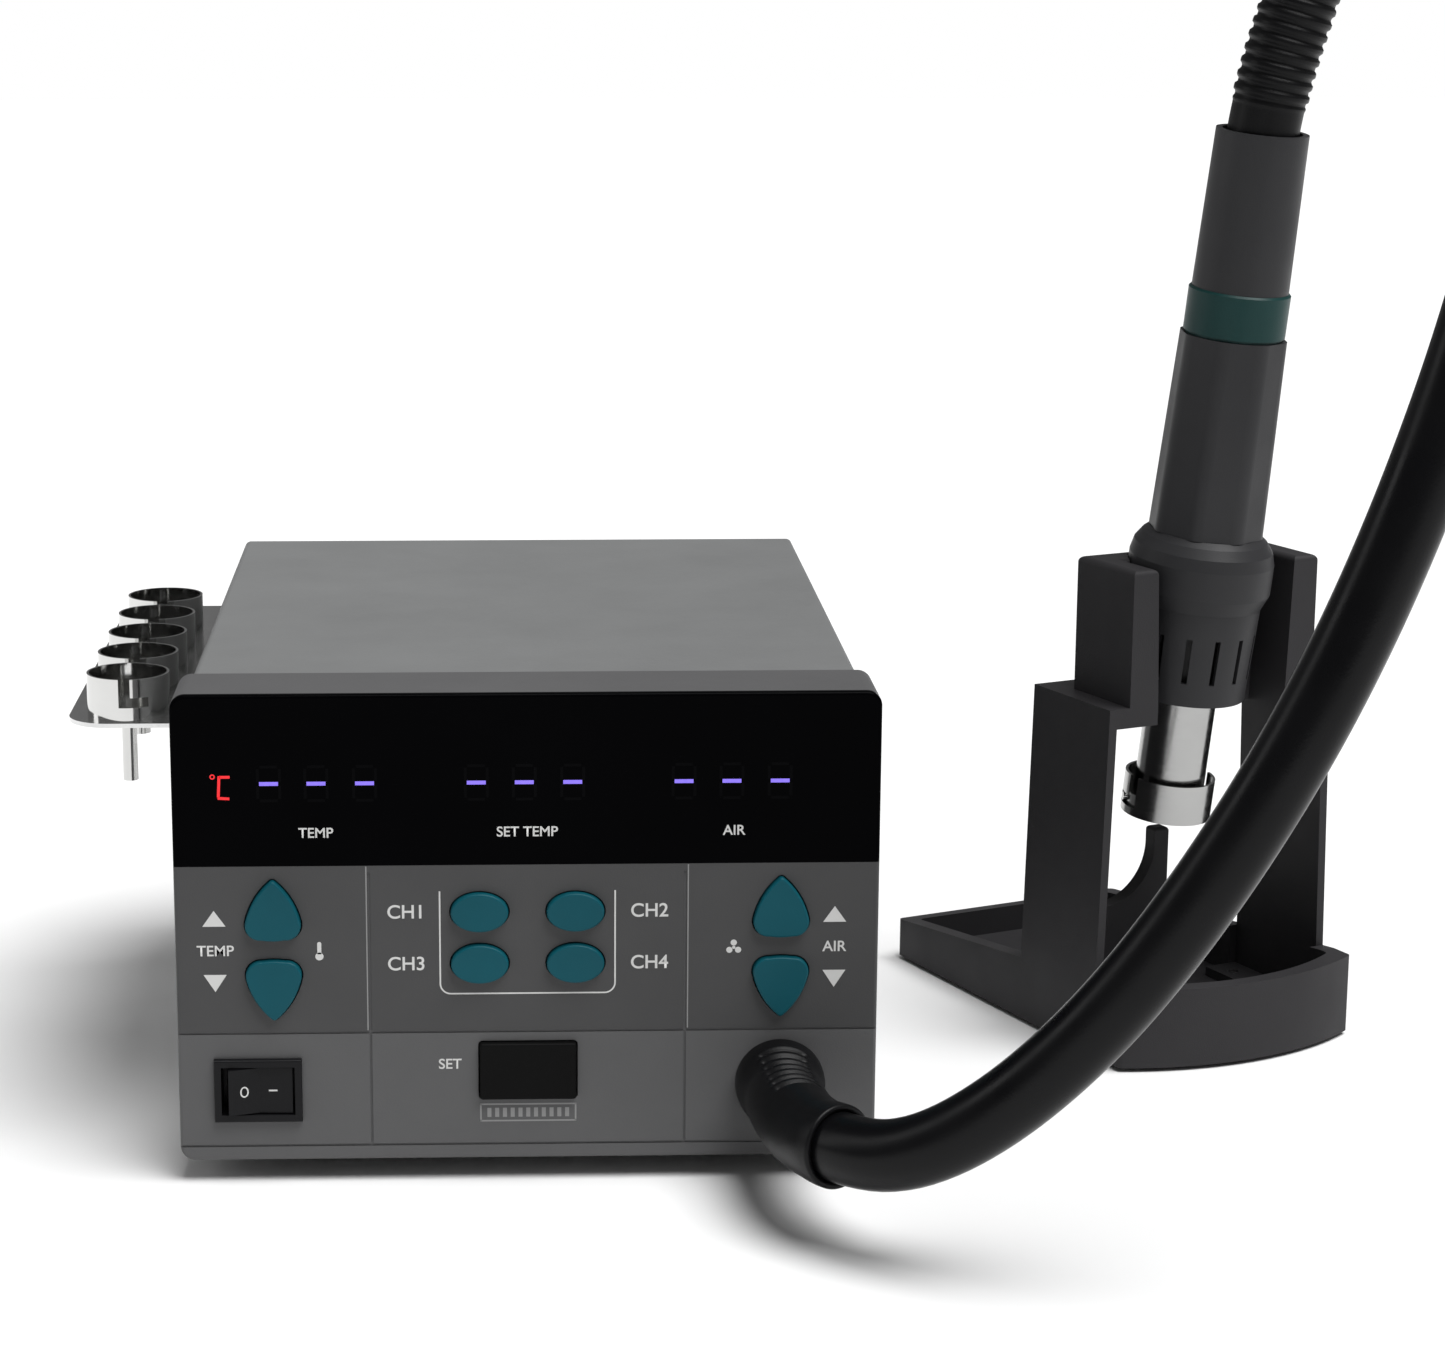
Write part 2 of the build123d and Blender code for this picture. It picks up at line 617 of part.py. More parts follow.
with BuildPart() as heater_barrel:
    sleeve(BARREL_R - BARREL_WALL, BARREL_R, MOUTH_S + 1.4, 80)
    sleeve(BARREL_R - BARREL_WALL, NOZZLE_R - NOZZLE_WALL - 0.4, MOUTH_S + 1.4, MOUTH_S + 6.2)
    pin_low = HANDLE.offset(PIN_S).origin
    for way in (-1, 1):
        pin_plane = Plane(origin=pin_low, x_dir=HANDLE.z_dir, z_dir=HANDLE.x_dir * way)
        rod(pin_plane.offset(BARREL_R - 0.4), PIN_R, NOZZLE_R - BARREL_R + 0.4)
finish(heater_barrel.part, "heater_barrel")

with BuildPart() as heater_core:
    with BuildSketch(HANDLE.offset(10)):
        Circle(7.4)
        with PolarLocations(4.4, 6):
            Circle(1.3, mode=Mode.SUBTRACT)
    extrude(amount=58)
finish(heater_core.part, "heater_core")

with BuildPart() as heater_insulator:
    sleeve(7.4, BARREL_R - BARREL_WALL, 12, 66)
finish(heater_insulator.part, "heater_insulator")

SHIELD_LOW, SHIELD_HIGH = SHIELD_S

with BuildPart() as nose_shield:
    turned([(12, SHIELD_LOW), (18.5, SHIELD_LOW), (19.4, SHIELD_HIGH), (17.6, SHIELD_HIGH),
            (16.8, SHIELD_LOW + 2), (12, SHIELD_LOW + 2)])
    with BuildSketch(HANDLE.offset(SHIELD_LOW + 7)):
        with PolarLocations(19, 14):
            Rectangle(8, 1.7)
    extrude(amount=13.8, mode=Mode.SUBTRACT)
finish(nose_shield.part, "nose_shield")

with BuildPart() as handle_collar:
    turned([(17.6, SHIELD_HIGH), (19.5, SHIELD_HIGH), (COLLAR_R, SHIELD_HIGH + 4.5), (COLLAR_R, 76),
            (20.6, 79.6), (18.6, 82.4), (16.6, COLLAR_TOP), (12.4, COLLAR_TOP), (12.4, 81.6),
            (BARREL_R, 81.6), (BARREL_R, 68), (17.6, 68)])
finish(handle_collar.part, "handle_collar")

with BuildPart() as handle_grip:
    for height, radius in ((COLLAR_TOP, 16.2), (GRIP_TOP - 0.8, 15.0)):
        with BuildSketch(HANDLE.offset(height)) as ring:
            RegularPolygon(radius, 8, major_radius=False, rotation=22.5)
            fillet(ring.vertices(), 6.0)
    loft()
    sleeve(0, 12.4, COLLAR_TOP - 1, GRIP_TOP + 1, Mode.SUBTRACT)
finish(handle_grip.part, "handle_grip")

with BuildPart() as handle_ring:
    turned([(12.4, GRIP_TOP - 0.8), (14.2, GRIP_TOP - 0.8), (14.2, GRIP_TOP), (14.85, GRIP_TOP),
            (14.85, RING_TOP - 0.6), (14.3, RING_TOP), (12.4, RING_TOP)])
finish(handle_ring.part, "handle_ring")

with BuildPart() as handle_tail:
    turned([(TAIL_BORE_R, RING_TOP), (14.1, RING_TOP), (13.4, TAIL_TOP), (TAIL_BORE_R, TAIL_TOP)])
    sleeve(9.0, TAIL_BORE_R, RING_TOP, RING_TOP + 3)
finish(handle_tail.part, "handle_tail")

# ---------------------------------------------------------------- hose


def handle_point(height):
    """Point on the hand piece's axis."""
    return HANDLE.offset(height).origin


def at_station(x, y, z):
    """Point given from the control box's front centre line."""
    return Vector(STATION_X + x, FRONT_Y + y, z)


HOSE_ROUTE = [
    at_station(HOSE_X, 0, HOSE_Z),
    at_station(HOSE_X, -27, HOSE_Z),
    at_station(76.5, -51, 27),
    at_station(95, -69, 30),
    at_station(121, -80, 50),
    at_station(149, -90, 85),
    at_station(180, -94, 137),
    at_station(205, -89, 190),
    at_station(226, -82, 252),
    at_station(238, -82, 322),
    at_station(245, -70, 392),
    at_station(247, -36, 450),
    at_station(247, 14, 484),
    at_station(246, 70, 476),
    at_station(244, 106, 434),
    at_station(238, 114, 380),
    at_station(226.5, 108.5, 326),
    handle_point(214),
    handle_point(HOSE_END_S),
]


def bend_radii(route):
    """Radius at each corner: as large as the two runs that meet there allow."""
    radii = []
    for before, here, after in zip(route, route[1:], route[2:]):
        shorter = min((here - before).length, (after - here).length)
        turn = (here - before).get_angle(after - here)
        radii.append(0.45 * shorter / tan(radians(turn / 2)))
    return radii


HOSE_RADII = bend_radii(HOSE_ROUTE)
print("hose bend radii", [round(r, 1) for r in HOSE_RADII])
print("hose runs", [round((b - a).length, 1) for a, b in zip(HOSE_ROUTE, HOSE_ROUTE[1:])])


def tube_along(route, radii, radius, mode=Mode.ADD):
    """Round bar along straight runs joined by tangent arcs."""
    with BuildLine() as path:
        line = FilletPolyline(*route, radius=radii)
    with BuildSketch(Plane(origin=line @ 0, z_dir=line % 0)) as section:
        Circle(radius)
    sweep(section.sketch, path=path.wires()[0], mode=mode)
    return path.wires()[0].length


with BuildPart() as hose:
    length = tube_along(HOSE_ROUTE, HOSE_RADII, HOSE_R)
print("hose length", round(length, 1), "volume", round(hose.part.volume),
      "section x length", round(length * pi * HOSE_R**2))
finish(hose.part, "hose")

# Boots: sleeves along the first and last stretch of the hose's own route.
BOOT_ROUTE = [*HOSE_ROUTE[:3], HOSE_ROUTE[2] + (HOSE_ROUTE[3] - HOSE_ROUTE[2]) * 0.46]

with BuildPart() as station_boot:
    rod(front(HOSE_X, 0, HOSE_Z), 12.2, 2.5)
    tube_along(BOOT_ROUTE, HOSE_RADII[:2], BOOT_R)
    with BuildSketch(front(HOSE_X, 0, HOSE_Z)):
        Circle(12.1)
    with BuildSketch(front(HOSE_X, -14, HOSE_Z)):
        Circle(BOOT_R)
    loft()
    tube_along(HOSE_ROUTE[:4], HOSE_RADII[:2], HOSE_BORE_R, Mode.SUBTRACT)
finish(station_boot.part, "station_boot")

TAIL_ROUTE = [
    handle_point(186),
    HOSE_ROUTE[-2],
    HOSE_ROUTE[-3],
    HOSE_ROUTE[-3] + (HOSE_ROUTE[-4] - HOSE_ROUTE[-3]) * 0.5,
]

with BuildPart() as handle_boot:
    tube_along(TAIL_ROUTE, [HOSE_RADII[-1], HOSE_RADII[-2]], BOOT_R)
    sleeve(0, TAIL_BORE_R, 186, 198)
    tube_along(HOSE_ROUTE[:-5:-1], [HOSE_RADII[-1], HOSE_RADII[-2]], HOSE_BORE_R, Mode.SUBTRACT)
    sleeve(0, HOSE_BORE_R, 180, 200, Mode.SUBTRACT)
finish(handle_boot.part, "handle_boot")

with BuildPart() as handle_board:
    with BuildSketch(HANDLE.offset(96)):
        with Locations((0, 4)):
            Rectangle(22.6, 1.6)
    extrude(amount=36)
finish(handle_board.part, "handle_board")

# ---------------------------------------------------------------- stand


def stand(z, w=0.0, t=0.0):
    """Level plane of the stand at height z: its x runs across the stand and its y towards the back."""
    c = cos(radians(STAND_TURN))
    n = sin(radians(STAND_TURN))
    x = STATION_X + STAND_POS[0] + c * w - n * t
    y = FRONT_Y + STAND_POS[1] + n * w + c * t
    return Plane(origin=(x, y, z), x_dir=(c, n, 0))


def stand_side(w):
    """Upright plane along the stand's left-right direction: its x runs to the back, its y up."""
    level_plane = stand(0, w)
    return Plane(origin=level_plane.origin, x_dir=level_plane.y_dir, z_dir=level_plane.x_dir)


def stand_front(t):
    """Upright plane across the stand: its x runs across, its y up, its normal to the front."""
    level_plane = stand(0, 0, t)
    return Plane(origin=level_plane.origin, x_dir=level_plane.x_dir, z_dir=-level_plane.y_dir)


def stand_block(ws, ts, zs, mode=Mode.ADD):
    """Box in the stand's own directions."""
    with Locations(stand(sum(zs) / 2, sum(ws) / 2, sum(ts) / 2).location):
        Box(ws[1] - ws[0], ts[1] - ts[0], zs[1] - zs[0], mode=mode)


STAND_HALF = STAND_W / 2
SCREW_W = 33.0
SCREW_T = (22.0, 46.0)

with BuildPart() as stand_base:
    with BuildSketch(stand(STAND_LIFT)) as footprint:
        with BuildLine():
            ThreePointArc((-STAND_HALF, 0), (0, -STAND_BULGE), (STAND_HALF, 0))
            Polyline(
                (STAND_HALF, 0),
                (STAND_HALF, STAND_L),
                (-STAND_HALF, STAND_L),
                (-STAND_HALF, 0),
            )
        make_face()
        fillet(footprint.vertices(), 2.0)
    extrude(amount=STAND_FRONT_Z - STAND_LIFT)
    # the walls fall away towards the back
    with BuildSketch(stand_side(-STAND_HALF - 1)):
        with BuildLine():
            Polyline(
                (8, STAND_FRONT_Z),
                (STAND_L + 1, STAND_BACK_Z),
                (STAND_L + 1, STAND_FRONT_Z + 5),
                (8, STAND_FRONT_Z + 5),
                close=True,
            )
        make_face()
    extrude(amount=STAND_W + 2, mode=Mode.SUBTRACT)
    # inside of the tray
    inner = STAND_HALF - STAND_RIM
    with BuildSketch(stand(TRAY_FLOOR)) as well:
        with BuildLine():
            ThreePointArc((-inner, STAND_RIM), (0, STAND_RIM - STAND_BULGE), (inner, STAND_RIM))
            Polyline(
                (inner, STAND_RIM),
                (inner, STAND_L - STAND_RIM),
                (-inner, STAND_L - STAND_RIM),
                (-inner, STAND_RIM),
            )
        make_face()
        fillet(well.vertices(), 2.0)
    extrude(amount=STAND_FRONT_Z, mode=Mode.SUBTRACT)
    for way in (-1, 1):
        # seat for the post in the side wall
        ws = sorted((way * (STAND_HALF - STAND_RIM - 0.1), way * (STAND_HALF + 1)))
        stand_block(ws, POST_T, (TRAY_FLOOR, STAND_FRONT_Z + 2), Mode.SUBTRACT)
        for t in SCREW_T:
            rod(stand(0, way * SCREW_W, t), 1.6, TRAY_FLOOR + 1, Mode.SUBTRACT)
            rod(stand(0, way * SCREW_W, t), 3.2, STAND_LIFT + 1.6, Mode.SUBTRACT)
    # pocket for the steel plate
    stand_block((-30, 30), (60, 116), (0, STAND_LIFT + 2.2), Mode.SUBTRACT)
finish(stand_base.part, "stand_base")

for name, way in (("stand_left_post", -1), ("stand_right_post", 1)):
    outer_low = way * STAND_HALF
    outer_high = way * (STAND_HALF - POST_INSET)
    inner_low = way * (STAND_HALF - POST_WALL)
    inner_high = way * (STAND_HALF - POST_INSET - POST_WALL)
    ledge_in = way * 23.0
    with BuildPart() as post:
        with BuildSketch(stand_front(POST_T[0])):
            with BuildLine():
                Polyline(
                    (outer_low, TRAY_FLOOR),
                    (outer_low, STAND_FRONT_Z),
                    (outer_high, LEDGE_Z[1]),
                    (ledge_in, LEDGE_Z[1]),
                    (ledge_in, LEDGE_Z[0]),
                    (inner_high, LEDGE_Z[0]),
                    (inner_low, STAND_FRONT_Z),
                    (inner_low, TRAY_FLOOR + 3),
                    (way * 28.0, TRAY_FLOOR + 3),
                    (way * 28.0, TRAY_FLOOR),
                    close=True,
                )
            make_face()
        extrude(amount=-(POST_T[1] - POST_T[0]))
        # cradle block, with a lip behind the hand piece
        with BuildSketch(stand_front(BLOCK_T[0])):
            with BuildLine():
                Polyline(
                    (way * BLOCK_W[1], LEDGE_Z[1]),
                    (way * BLOCK_W[1], BLOCK_TOP),
                    (way * BLOCK_W[0], BLOCK_TOP),
                    (ledge_in, LEDGE_Z[1]),
                    close=True,
                )
            make_face()
        extrude(amount=-(BLOCK_T[1] - BLOCK_T[0]))
        lip = sorted((way * LIP_W, way * (BLOCK_W[0] + 1)))
        stand_block(lip, (LIP_T, BLOCK_T[1]), (LEDGE_Z[0], BLOCK_TOP))
        top_edges = post.faces().sort_by(Axis.Z)[-1].edges()
        fillet(top_edges, 1.8)
        # room for the hand piece
        room = COLLAR_R + HANDLE_CLEAR
        turned([(0, 20), (19.9, 20), (19.9, 61.5), (room, 66.6), (room, 110), (0, 110)], Mode.SUBTRACT)
        for t in SCREW_T:
            rod(stand(TRAY_FLOOR - 1, way * SCREW_W, t), 1.6, 6, Mode.SUBTRACT)
    finish(post.part, name)

with BuildPart() as stand_nozzle_rest:
    with BuildSketch(stand_front(42.0)):
        with BuildLine():
            bow = ThreePointArc((-2, 55), (-7.3, 42.3), (-20, 37))
            Polyline(bow @ 1, (-22, 37), (-22, TRAY_FLOOR), (3, TRAY_FLOOR), (3, 60), (-2, 60), bow @ 0)
        make_face()
    extrude(amount=-5)
    fillet(stand_nozzle_rest.faces().sort_by(Axis.Z)[-1].edges(), 1.2)
finish(stand_nozzle_rest.part, "stand_nozzle_rest")

with BuildPart() as stand_weight:
    stand_block((-30, 30), (60, 116), (STAND_LIFT, STAND_LIFT + 2.2))
finish(stand_weight.part, "stand_weight")

with BuildPart() as rubber_feet:
    for x in (-70, 70):
        for y in (40, 218):
            rod(level(x, y, 0), 9.0, FOOT_H)
    chamfer(rubber_feet.faces().group_by(Axis.Z)[0].edges(), 1.0)
    for w in (-34, 34):
        for t in (8, 119):
            rod(stand(0, w, t), 4.5, STAND_LIFT)
finish(rubber_feet.part, "rubber_feet")

with BuildPart() as stand_screws:
    for w in (-SCREW_W, SCREW_W):
        for t in SCREW_T:
            rod(stand(STAND_LIFT, w, t), 3.2, 1.6)
            rod(stand(STAND_LIFT, w, t), 1.6, TRAY_FLOOR + 2.4 - STAND_LIFT)
finish(stand_screws.part, "stand_screws")
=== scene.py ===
"""Hot air rework station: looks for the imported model, in the same frame, in metres."""
import math

import bmesh
import bpy
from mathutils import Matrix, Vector


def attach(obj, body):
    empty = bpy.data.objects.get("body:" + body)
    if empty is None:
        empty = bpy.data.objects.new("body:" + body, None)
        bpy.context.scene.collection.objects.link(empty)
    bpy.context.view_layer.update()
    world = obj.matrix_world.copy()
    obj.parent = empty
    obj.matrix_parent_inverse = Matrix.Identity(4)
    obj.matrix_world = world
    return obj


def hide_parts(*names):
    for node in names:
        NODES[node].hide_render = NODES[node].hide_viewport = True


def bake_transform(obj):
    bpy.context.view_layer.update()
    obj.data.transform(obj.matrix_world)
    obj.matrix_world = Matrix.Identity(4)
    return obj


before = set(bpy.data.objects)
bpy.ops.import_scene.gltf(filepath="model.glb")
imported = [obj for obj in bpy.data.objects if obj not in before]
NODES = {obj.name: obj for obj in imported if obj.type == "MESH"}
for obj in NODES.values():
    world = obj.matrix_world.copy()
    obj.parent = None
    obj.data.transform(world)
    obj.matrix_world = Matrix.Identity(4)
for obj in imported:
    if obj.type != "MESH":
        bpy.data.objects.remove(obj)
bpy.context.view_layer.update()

# The set's own layout, as in the CAD source: the middle of the control box's front, in millimetres.
STATION_X, FRONT_Y = -62.6, -90.2
HANDLE_BASE = (196.8, 127.6, 73.0)
HANDLE_LEAN = Vector((0.084, -0.080, 1.0))
HOSE_X, HOSE_Z, HOSE_R = 68.0, 27.0, 9.15


def at(x, y, z):
    """Point in metres, from millimetres about the middle of the control box's front."""
    return Vector((STATION_X + x, FRONT_Y + y, z)) / 1000


AXIS = HANDLE_LEAN.normalized()
SIDE = (Vector((1, 0, -HANDLE_LEAN.x))).normalized()
BACK = AXIS.cross(SIDE)
HANDLE_ORIGIN = at(*HANDLE_BASE)


def on_axis(s):
    """Point on the hand piece's axis, s millimetres above the nozzle's mouth."""
    return HANDLE_ORIGIN + AXIS * s / 1000


# ---------------------------------------------------------------- camera

def make_camera():
    data = bpy.data.cameras.new("camera")
    camera = bpy.data.objects.new("camera", data)
    bpy.context.scene.collection.objects.link(camera)
    data.sensor_width = 36
    data.lens = 83.8
    data.shift_x = 0.094
    data.clip_start, data.clip_end = 0.05, 20
    camera.location = at(-8.3, -862.7, 330)
    camera.rotation_euler = (math.radians(90 - 12.48), 0, math.radians(-1.6))
    bpy.context.scene.camera = camera


make_camera()

# ---------------------------------------------------------------- mesh helpers


def new_object(name, mesh, body, *mats):
    obj = bpy.data.objects.new(name, mesh)
    bpy.context.scene.collection.objects.link(obj)
    for m in mats:
        mesh.materials.append(m)
    if body:
        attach(obj, body)
    return obj


def mesh_from(name, verts, faces, smooth=True):
    mesh = bpy.data.meshes.new(name)
    mesh.from_pydata([tuple(v) for v in verts], [], faces)
    mesh.update()
    bm = bmesh.new()
    bm.from_mesh(mesh)
    bmesh.ops.recalc_face_normals(bm, faces=bm.faces)
    for f in bm.faces:
        f.smooth = smooth
    bm.to_mesh(mesh)
    bm.free()
    return mesh


def smooth_by_angle(mesh, degrees):
    """Sharp edges where faces meet at more than this angle."""
    bm = bmesh.new()
    bm.from_mesh(mesh)
    for e in bm.edges:
        if len(e.link_faces) == 2:
            e.smooth = e.calc_face_angle() < math.radians(degrees)
    for f in bm.faces:
        f.smooth = True
    bm.to_mesh(mesh)
    bm.free()


def spline_points(route, steps):
    """Points along the NURBS curve whose control points are the route's."""
    data = bpy.data.curves.new("line", "CURVE")
    data.dimensions = "3D"
    data.resolution_u = steps
    line = data.splines.new("NURBS")
    line.points.add(len(route) - 1)
    for p, co in zip(line.points, route):
        p.co = (*co, 1)
    line.order_u = 3
    line.use_endpoint_u = True
    obj = bpy.data.objects.new("line", data)
    mesh = bpy.data.meshes.new_from_object(obj)
    points = [v.co.copy() for v in mesh.vertices]
    bpy.data.objects.remove(obj)
    bpy.data.curves.remove(data)
    bpy.data.meshes.remove(mesh)
    return points


def frames_along(points, up):
    """Centre, two sideways directions and distance at each point, turning as little as possible."""
    out = []
    side = None
    travelled = 0.0
    for i, p in enumerate(points):
        ahead = (points[min(i + 1, len(points) - 1)] - points[max(i - 1, 0)]).normalized()
        if side is None:
            side = (up - ahead * up.dot(ahead)).normalized()
        else:
            side = (side - ahead * side.dot(ahead)).normalized()
            travelled += (p - points[i - 1]).length
        out.append((p, side.copy(), ahead.cross(side), travelled))
    return out


def sweep_rings(frames, sides, radius, caps=True, close=False):
    """Vertices and faces of a tube; radius(distance, angle) is in metres."""
    verts, faces = [], []
    for p, a, b, s in frames:
        for k in range(sides):
            t = 2 * math.pi * k / sides
            r = radius(s, t)
            verts.append(p + a * (r * math.cos(t)) + b * (r * math.sin(t)))
    n = len(frames)
    for i in range(n - 1):
        for k in range(sides):
            j = (k + 1) % sides
            faces.append((i * sides + k, i * sides + j, (i + 1) * sides + j, (i + 1) * sides + k))
    if caps:
        faces.append(tuple(range(sides))[::-1])
        faces.append(tuple((n - 1) * sides + k for k in range(sides)))
    return verts, faces


def even_points(points, step):
    """The same line with points every step metres."""
    out = [points[0].copy()]
    left = step
    for a, b in zip(points, points[1:]):
        seg = (b - a).length
        run = 0.0
        while seg - run >= left:
            run += left
            out.append(a.lerp(b, run / seg))
            left = step
        left -= seg - run
    if (out[-1] - points[-1]).length > step * 0.3:
        out.append(points[-1].copy())
    return out


# ---------------------------------------------------------------- materials

def node_tree(name):
    m = bpy.data.materials.new(name)
    m.use_nodes = True
    nt = m.node_tree
    return m, nt, nt.nodes["Principled BSDF"], nt.nodes.new("ShaderNodeTexCoord")


def noise(nt, coords, scale, detail=3.0, rough=0.55, stretch=None):
    n = nt.nodes.new("ShaderNodeTexNoise")
    n.inputs["Scale"].default_value = scale
    n.inputs["Detail"].default_value = detail
    n.inputs["Roughness"].default_value = rough
    source = coords.outputs["Object"]
    if stretch:
        mapping = nt.nodes.new("ShaderNodeMapping")
        mapping.inputs["Scale"].default_value = stretch
        nt.links.new(source, mapping.inputs["Vector"])
        source = mapping.outputs["Vector"]
    nt.links.new(source, n.inputs["Vector"])
    return n.outputs["Fac"]


def ranged(nt, fac, low, high, start=0.3, end=0.7):
    r = nt.nodes.new("ShaderNodeMapRange")
    r.inputs["From Min"].default_value = start
    r.inputs["From Max"].default_value = end
    r.inputs["To Min"].default_value = low
    r.inputs["To Max"].default_value = high
    nt.links.new(fac, r.inputs["Value"])
    return r.outputs["Result"]


def tinted(nt, fac, dark, light, start=0.3, end=0.7):
    ramp = nt.nodes.new("ShaderNodeValToRGB")
    ramp.color_ramp.elements[0].position = start
    ramp.color_ramp.elements[0].color = (*dark, 1)
    ramp.color_ramp.elements[1].position = end
    ramp.color_ramp.elements[1].color = (*light, 1)
    nt.links.new(fac, ramp.inputs["Fac"])
    return ramp.outputs["Color"]


def bump(nt, bsdf, height, depth, strength=1.0, before=None):
    b = nt.nodes.new("ShaderNodeBump")
    b.inputs["Distance"].default_value = depth
    b.inputs["Strength"].default_value = strength
    nt.links.new(height, b.inputs["Height"])
    if before:
        nt.links.new(before, b.inputs["Normal"])
    nt.links.new(b.outputs["Normal"], bsdf.inputs["Normal"])
    return b.outputs["Normal"]


def scaled(color, k):
    return tuple(min(1.0, c * k) for c in color)


def plastic(name, color, rough, grain=2600, depth=0.00003, spread=0.12, specular=0.5, patch=22):
    """Moulded plastic: fine spark-eroded grain, faint mottling, and gloss that varies a little at random."""
    m, nt, bsdf, coords = node_tree(name)
    bsdf.inputs["Specular IOR Level"].default_value = specular
    mottling = noise(nt, coords, patch, 5.0, 0.6)
    tone = tinted(nt, mottling, scaled(color, 1 - spread), scaled(color, 1 + spread))
    nt.links.new(tone, bsdf.inputs["Base Color"])
    gloss = ranged(nt, noise(nt, coords, patch * 2.3, 4.0), rough - 0.06, rough + 0.06)
    nt.links.new(gloss, bsdf.inputs["Roughness"])
    bump(nt, bsdf, noise(nt, coords, grain, 2.0), depth)
    return m


def metal(name, color, rough, stretch, depth=0.000008, spread=0.1):
    """Metal with fine drawn or turned lines along one direction."""
    m, nt, bsdf, coords = node_tree(name)
    bsdf.inputs["Metallic"].default_value = 1.0
    lines = noise(nt, coords, 900, 4.0, 0.6, stretch)
    cloud = noise(nt, coords, 30, 4.0, 0.6)
    tone = tinted(nt, cloud, scaled(color, 1 - spread), scaled(color, 1 + spread))
    nt.links.new(tone, bsdf.inputs["Base Color"])
    nt.links.new(ranged(nt, lines, rough * 0.75, rough * 1.3), bsdf.inputs["Roughness"])
    bump(nt, bsdf, lines, depth)
    return m


def glow(name, color, strength):
    """Lit display segment, its glow varying a little at random."""
    m, nt, bsdf, coords = node_tree(name)
    bsdf.inputs["Base Color"].default_value = (*scaled(color, 0.4), 1)
    bsdf.inputs["Roughness"].default_value = 0.4
    bsdf.inputs["Emission Strength"].default_value = strength
    tone = tinted(nt, noise(nt, coords, 900, 2.0), scaled(color, 0.85), color)
    nt.links.new(tone, bsdf.inputs["Emission Color"])
    return m


def compared(nt, value, limit, mode):
    step = nt.nodes.new("ShaderNodeMath")
    step.operation = mode
    step.inputs[1].default_value = limit
    nt.links.new(value, step.inputs[0])
    return step.outputs["Value"]


def blended(nt, fac, low, high):
    mix = nt.nodes.new("ShaderNodeMix")
    mix.data_type = "RGBA"
    nt.links.new(fac, mix.inputs["Factor"])
    nt.links.new(low, mix.inputs["A"])
    nt.links.new(high, mix.inputs["B"])
    return mix.outputs["Result"]


def front_plastic():
    """Grey moulding, with a darker field round the keys on its front face, above 42 mm."""
    m, nt, bsdf, coords = node_tree("front_plastic")
    bsdf.inputs["Specular IOR Level"].default_value = 0.25
    mottling = noise(nt, coords, 22, 5.0, 0.6)
    axes = nt.nodes.new("ShaderNodeSeparateXYZ")
    nt.links.new(coords.outputs["Object"], axes.inputs["Vector"])
    body, field = [tinted(nt, mottling, scaled(c, 0.95), scaled(c, 1.05))
                   for c in ((0.098, 0.098, 0.100), (0.060, 0.060, 0.061))]
    inside = nt.nodes.new("ShaderNodeMath")
    inside.operation = "MULTIPLY"
    nt.links.new(compared(nt, axes.outputs["Z"], 0.042, "GREATER_THAN"), inside.inputs[0])
    nt.links.new(compared(nt, axes.outputs["Y"], FRONT_Y / 1000 + 0.0004, "LESS_THAN"), inside.inputs[1])
    nt.links.new(blended(nt, inside.outputs["Value"], body, field), bsdf.inputs["Base Color"])
    nt.links.new(ranged(nt, noise(nt, coords, 50, 4.0), 0.44, 0.56), bsdf.inputs["Roughness"])
    bump(nt, bsdf, noise(nt, coords, 2600, 2.0), 0.00004)
    return m


